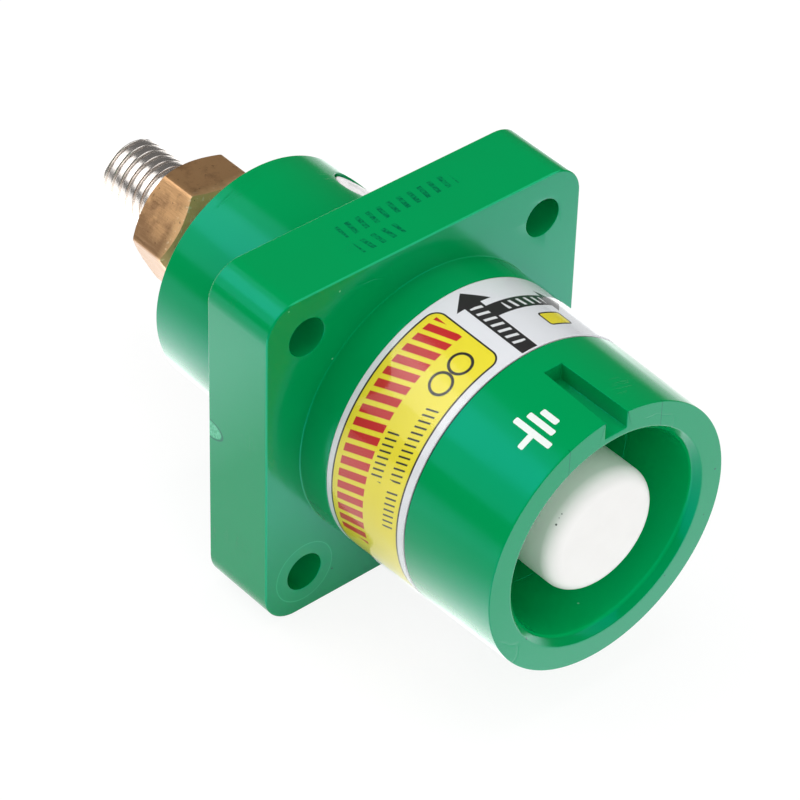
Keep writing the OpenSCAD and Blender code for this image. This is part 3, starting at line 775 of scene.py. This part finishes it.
# each step is a station, 1 where the keyway is cut and 0 where it isn't, and how far the outline is drawn in
steps = [(barrel["labelTo"] + rearEdge, 0, inset) for inset in (rearEdge, 0.0)]
steps += [(s, 0, 0.0) for s in np.linspace(barrel["labelTo"] + rearGap, keyEnd - keyEdge, 5)]
steps += [(keyEnd - keyEdge * (1 - math.sin(a)), 0, keyEdge * (1 - math.cos(a))) for a in rimTurn[1:]]
steps += [(keyEnd + keyFoot * (1 - math.cos(a)), 1, -keyFoot * (1 - math.sin(a))) for a in rimTurn]
steps += [(s, 1, 0.0) for s in np.linspace(keyEnd + keyGap, front - ring["edgeR"] - mouthGap, 12)]
steps += [(front - ring["edgeR"] * (1 - math.sin(a)), 1, ring["edgeR"] * (1 - math.cos(a))) for a in rimTurn]
rows = []
for station, keyed, inset in steps:
    x, z, nx, nz, main = ringOutline(outsideR(station), keyed, station)
    # the roundings of the keyway's end touch only the keyway's own columns
    keyColumns = np.arange(len(x)) >= ring["plainColumns"]
    touched = keyColumns if keyEnd - 1 < station < keyEnd + 0.5 else True
    local = np.where(touched, inset, 0.0)
    rows.append((x - nx * local, np.full(len(x), -station), z - nz * local))
mouthR, seatR = barrel["cavityR"] + ring["chamfer"], barrel["spigotR"] + ring["play"]
inner = roundedPath((  # from the front face in through the mouth and over the spigot to the rear edge
    (mouthR + 0.4, -front, 0),
    (mouthR, -front, 0.3),
    (barrel["cavityR"], -front + ring["chamfer"], 1.2),
    (barrel["cavityR"], -barrel["spigotEnd"], 0.1),
    (seatR, -barrel["spigotEnd"], 0.1),
    (seatR, -barrel["labelTo"], 0.05),
    (outsideR(barrel["labelTo"]) - rearEdge, -barrel["labelTo"], 0),
))
angle = mouthAngles(main)
for r, y in inner.T:
    rows.append((r * np.cos(angle), np.full(len(angle), y), r * np.sin(angle)))
rows.append(rows[0])
ringPatch = tuple(np.stack([row[part] for row in rows]) for part in range(3)) + (True,)
addPiece("keyedRing", [ringPatch], "green_moulding", "front_ring")

# Printed wrap and clear sleeve: two drafted tubes
wrap = {"play": 0.03, "short": 0.25, "below": 0.07, "thick": 0.25, "proud": 0.15, "sleeveThick": 0.2}


def film(depth, thick):
    # from station a to station b, with its outside that deep below the barrel's
    a, b = barrel["labelFrom"] + wrap["play"], barrel["labelTo"] - wrap["short"]
    aR, bR = outsideR(a) - depth, outsideR(b) - depth
    return revolved(roundedPath((
        (aR - thick, -a, 0), (aR, -a, 0.05), (bR, -b, 0.05), (bR - thick, -b, 0), (aR - thick, -a, 0),
    ), 3), 256)


addPiece("printedWrap", [film(wrap["below"], wrap["thick"])], "label_print", "label_wrap")
addPiece("clearSleeve", [film(-wrap["proud"], wrap["sleeveThick"])], "clear_film", "label_sleeve")

# Nose cap: a blunt turned profile with a round front edge
nose = {"r": 10.0, "front": 51.5, "rear": 37.0, "edgeR": 2.3, "boreR": 6.55, "boreEnd": 46.1}
nosePath = roundedPath((
    (0, -nose["front"], 0), (nose["r"], -nose["front"], nose["edgeR"]), (nose["r"], -nose["rear"], 0.1),
    (nose["boreR"], -nose["rear"], 0), (nose["boreR"], -nose["boreEnd"], 0), (0, -nose["boreEnd"], 0),
), 10)
addPiece("noseCap", [revolved(nosePath, 128)], "white_moulding", "nose_cap")

# Threaded post: the radius depends on where a point lies between two turns of the thread
stud = {
    "crestR": 5.95, "pitch": 1.75, "depth": 0.75, "start": -0.7, "plainRow": 10.0,
    "threadFrom": 23.0, "lead": 0.2, "end": 57.0, "chamfer": 1.1,
}
threadStart = stud["threadFrom"] - stud["lead"]
along = np.arange(stud["threadFrom"], stud["end"], stud["pitch"] / 24)
y = np.concatenate(((threadStart,), along, (stud["end"],)))[:, None]
angles = (np.arange(96) * 3.75)[None, :]
turnPart = np.mod(y / stud["pitch"] + angles / 360, 1.0)
groove = (0.5 + 0.5 * np.cos(2 * np.pi * turnPart)) ** 8  # 0 on the broad crest, 1 in the narrow root
r = stud["crestR"] - stud["depth"] * groove * (y >= stud["threadFrom"])
r = np.minimum(r, stud["crestR"] - (y - (stud["end"] - stud["chamfer"])))
endR = r[-1:] * np.array((1.0, 0.5, 0.0))[:, None]
plainR = np.array((0.0, stud["crestR"], stud["crestR"], stud["crestR"]))[:, None]
plainY = np.array((stud["start"], stud["start"], stud["plainRow"], threadStart))[:, None]
studPatches = [(*onCylinder(r, angles, y), True), (*onCylinder(endR, angles, stud["end"]), True)]
studPatches.append((*onCylinder(plainR, angles, plainY), True))
addPiece("threadedPost", studPatches, "plated_metal", "terminal_stud", sharp=70)

# Nut: the flats' distance from the axis, cut by a cone at both faces
nut = {
    "flat": 9.5, "from": 33.45, "thick": 9.6, "turn": 115.0, "faceR": 8.76, "slope": 35.0,
    "boreR": 6.0, "sink": 0.8, "soft": 0.25, "rim": 0.3, "columns": 216,
}
angles = nut["turn"] + np.arange(nut["columns"]) * 360 / nut["columns"]
fromFlat = np.mod(angles - nut["turn"], 60) - 30
prismR = nut["flat"] / np.cos(np.radians(fromFlat))
prismR = np.minimum(prismR, nut["flat"] / math.cos(math.radians(30)) - nut["soft"] * 0.5)
share = np.array((0.0, 0.35, 0.7, 1.0))[:, None]
coneR = nut["faceR"] + share * (prismR - nut["faceR"])
coneRise = (coneR - nut["faceR"]) * math.tan(math.radians(nut["slope"]))
innerR = np.array((nut["boreR"], nut["boreR"], nut["boreR"] + nut["sink"], nut["faceR"] - nut["rim"]))
innerRise = np.array((nut["thick"] / 2, nut["sink"], 0.0, 0.0))
innerR, innerRise = innerR[:, None] + 0 * prismR, innerRise[:, None] + 0 * prismR
nearR, nearRise = np.concatenate((innerR, coneR)), np.concatenate((innerRise, coneRise))
nutR = np.concatenate((nearR, nearR[::-1]))
nutY = nut["from"] + np.concatenate((nearRise, nut["thick"] - nearRise[::-1]))
addPiece("hexNut", [(*onCylinder(nutR, angles[None, :], nutY), True)], "brass", "hex_nut", sharp=20)

# Screw plug and its seal, turned round the plug's own axis
plugTurns = np.radians(np.arange(64) * 5.625)[None, :]


def roundPlugAxis(r, height):
    # u = r cos(turn), t = r sin(turn), with the height that goes with each r
    r, height = r[:, None], height[:, None]
    return [(*onPlugAxis(r * np.cos(plugTurns), r * np.sin(plugTurns), height), True)]


headTop, headFoot = plug["headTop"], plug["headTop"] - plug["headT"]
dishFloor, dishRim = headTop - plug["dishDepth"], plug["dishR"] + plug["dishSlope"]
plugR, plugHeight = roundedPath((
    (0, dishFloor, 0), (plug["dishR"], dishFloor, 0), (dishRim, headTop, 0.1),
    (plug["headR"], headTop, 0.3), (plug["headR"], headFoot, 0.1),
    (plug["stemR"], headFoot, 0), (plug["stemR"], plug["seatR"], 0), (0, plug["seatR"], 0),
))
addPiece("screwPlug", roundPlugAxis(plugR, plugHeight), "plug_moulding", "screw_plug")
sealTurn = np.radians(np.arange(25) * 15)
sealR = plug["sealR"] + plug["sealHalf"] * np.cos(sealTurn)
sealHeight = plug["seatR"] + plug["sealRise"] + plug["sealHalf"] * np.sin(sealTurn)
addPiece("plugSeal", roundPlugAxis(sealR, sealHeight), "seal_rubber", "plug_seal")

# Earth sign: flat bars with round ends on the ring, each from angle to angle and from station to station
sign = {
    "radius": 22.0, "half": 0.5, "proud": 0.045, "sunk": 0.005, "thick": 0.03,
    "bars": (
        ((115.6, 115.6), (42.85, 49.05)), ((111.1, 111.1), (43.8, 47.95)), ((107.0, 107.0), (44.85, 47.05)),
        ((116.8, 121.6), (46.1, 46.1)),  # the stem
    ),
}
# u runs along a bar and v across it; the bar's half length grows by half (1 - v^4)^(1/4) for its round ends
v = np.sin(np.radians(np.linspace(-90, 90, 15)))[:, None]
u = np.sin(np.radians(np.linspace(-90, 90, 41)))[None, :]
rim = np.maximum(np.abs(u), np.abs(v)) ** 10
signPatches = []
for barAngles, (s0, s1) in sign["bars"]:
    a0, a1 = (np.radians(a) * sign["radius"] for a in barAngles)
    length = math.hypot(a1 - a0, s1 - s0) / 2
    alongA, alongS = (a1 - a0) / length / 2, (s1 - s0) / length / 2
    lengthwise = u * (length + sign["half"] * (1 - v**4) ** 0.25)
    across = sign["half"] * v + 0 * u
    a = (a0 + a1) / 2 + lengthwise * alongA - across * alongS
    s = (s0 + s1) / 2 + lengthwise * alongS + across * alongA
    for lift in (sign["proud"] * (1 - rim) - sign["sunk"], -sign["sunk"] - sign["thick"] * (1 - rim)):
        signPatches.append((*onCylinder(outsideR(s) + lift, np.degrees(a / sign["radius"]), -s), False))
addPiece("earthSign", signPatches, "label_print", sharp=60, look="sign_white")

# Camera: where it stands, the direction from the object back to it, its roll and its lens
camera = {
    "place": (-0.285611, -0.330176, 0.355367), "back": (-0.509312, -0.574364, 0.640864),
    "roll": 1.8291, "lens": 173.175, "sensor": 36,
}
back = Vector(camera["back"]).normalized()
flatRight = Vector((-back.y, back.x, 0)).normalized()
flatUp = back.cross(flatRight)
roll = math.radians(camera["roll"])
right = flatRight * math.cos(roll) + flatUp * math.sin(roll)
up = flatUp * math.cos(roll) - flatRight * math.sin(roll)
view = bpy.data.objects.new("camera", bpy.data.cameras.new("camera"))
scene.collection.objects.link(view)
view.matrix_world = Matrix.Translation(camera["place"]) @ Matrix((right, up, back)).transposed().to_4x4()
view.data.lens = camera["lens"]
view.data.sensor_width = camera["sensor"]
scene.camera = view
print("camera placed", camera["place"])

# Floor, in metres: white to the camera, and in reflections as bright as its steps multiply to
ground = {
    "half": 3.0, "below": 0.0292, "rough": 0.9, "flangeMiddle": 0.003,
    "grey": (0.85, 0.85, 0.85), "seenGrey": (0.14, 0.14, 0.14), "seenGlow": 0.88,
    "steps": (  # what is measured, from where, to where, and the strength at each
        ("sideways", -0.125, -0.01, 0.3, 1.12),  # darker far to the left
        ("sideways", 0.09, 0.17, 1.1, 0.1),  # and to the right
        ("fromFlange", 0.015, 0.036, 0.4, 1.72),  # shade beside the flange
        ("fromFlange", 0.046, 0.08, 1.0, 0.5),  # dimmer further off
        ("far", 0.12, 0.6, 1.0, 0.1),
    ),
}
half = ground["half"]
corners = [(sx * half, sy * half, -ground["below"]) for sx, sy in ((-1, -1), (1, -1), (1, 1), (-1, 1))]
floorMesh = bpy.data.meshes.new("floor")
floorMesh.from_pydata(corners, [], [(0, 1, 2, 3)])
floor = bpy.data.objects.new("floor", floorMesh)
scene.collection.objects.link(floor)
floorMaterial, tree, shader = newMaterial("floorWhite")
rays = node(tree, "ShaderNodeLightPath")
toCamera = rays.outputs["Is Camera Ray"]
tree.links.new(mixedColor(tree, toCamera, ground["grey"], ground["seenGrey"]), shader.inputs["Base Color"])
shader.inputs["Roughness"].default_value = ground["rough"]
shader.inputs["Specular IOR Level"].default_value = 0.0
shader.inputs["Emission Color"].default_value = (1, 1, 1, 1)
split = node(tree, "ShaderNodeSeparateXYZ")
tree.links.new(objectPlace(tree), split.inputs["Vector"])
far = node(tree, "ShaderNodeVectorMath", operation="LENGTH")
tree.links.new(objectPlace(tree), far.inputs["Vector"])
sources = {
    "sideways": split.outputs["X"], "far": far.outputs["Value"],
    "fromFlange": apart(tree, split.outputs["Y"], ground["flangeMiddle"]),
}
strengths = [ranged(tree, sources[source], *step) for source, *step in ground["steps"]]
mirrored = both(tree, *strengths, rays.outputs["Is Glossy Ray"])
seen = calc(tree, "MULTIPLY", toCamera, ground["seenGlow"])
tree.links.new(calc(tree, "ADD", mirrored, seen), shader.inputs["Emission Strength"])
floorMesh.materials.append(floorMaterial)

# World and softboxes: azimuth and elevation in degrees, distance in metres; a fill lamp leaves no highlight
studio = {"world": 0.45, "worldMirrored": 0.06}
softboxes = (
    {"azimuth": 127, "elevation": 39, "distance": 0.9, "size": (0.92, 0.74), "power": 2.85, "fill": False},
    {"azimuth": 127, "elevation": 44, "distance": 0.88, "size": (0.5, 0.3), "power": 0.8, "fill": False},
    {"azimuth": -50, "elevation": 40, "distance": 0.9, "size": (0.6, 0.6), "power": 1.4, "fill": False},
    {"azimuth": -118, "elevation": 32, "distance": 0.9, "size": (0.5, 0.5), "power": 2.05, "fill": True},
    {"azimuth": 0, "elevation": 88, "distance": 0.9, "size": (0.5, 0.5), "power": 2.3, "fill": True},
)
world = bpy.data.worlds.new("studio")
scene.world = world
world.use_nodes = True
tree = world.node_tree
sky = tree.nodes["Background"]
sky.inputs["Color"].default_value = (1, 1, 1, 1)
isGlossy = node(tree, "ShaderNodeLightPath").outputs["Is Glossy Ray"]
strength = ranged(tree, isGlossy, 0.0, 1.0, studio["world"], studio["worldMirrored"])
tree.links.new(strength, sky.inputs["Strength"])
for index, box in enumerate(softboxes):
    az, el = math.radians(box["azimuth"]), math.radians(box["elevation"])
    toward = Vector((math.cos(az) * math.cos(el), math.sin(az) * math.cos(el), math.sin(el)))
    lamp = bpy.data.lights.new("softbox" + str(index), "AREA")
    lamp.shape = "RECTANGLE"
    lamp.size, lamp.size_y = box["size"]
    lamp.energy = box["power"]
    key = bpy.data.objects.new(lamp.name, lamp)
    key.visible_glossy = not box["fill"]
    scene.collection.objects.link(key)
    aim = toward.to_track_quat("Z", "Y").to_matrix().to_4x4()
    key.matrix_world = Matrix.Translation(toward * box["distance"]) @ aim
scene.view_settings.view_transform = "Standard"
print("light placed", len(softboxes))
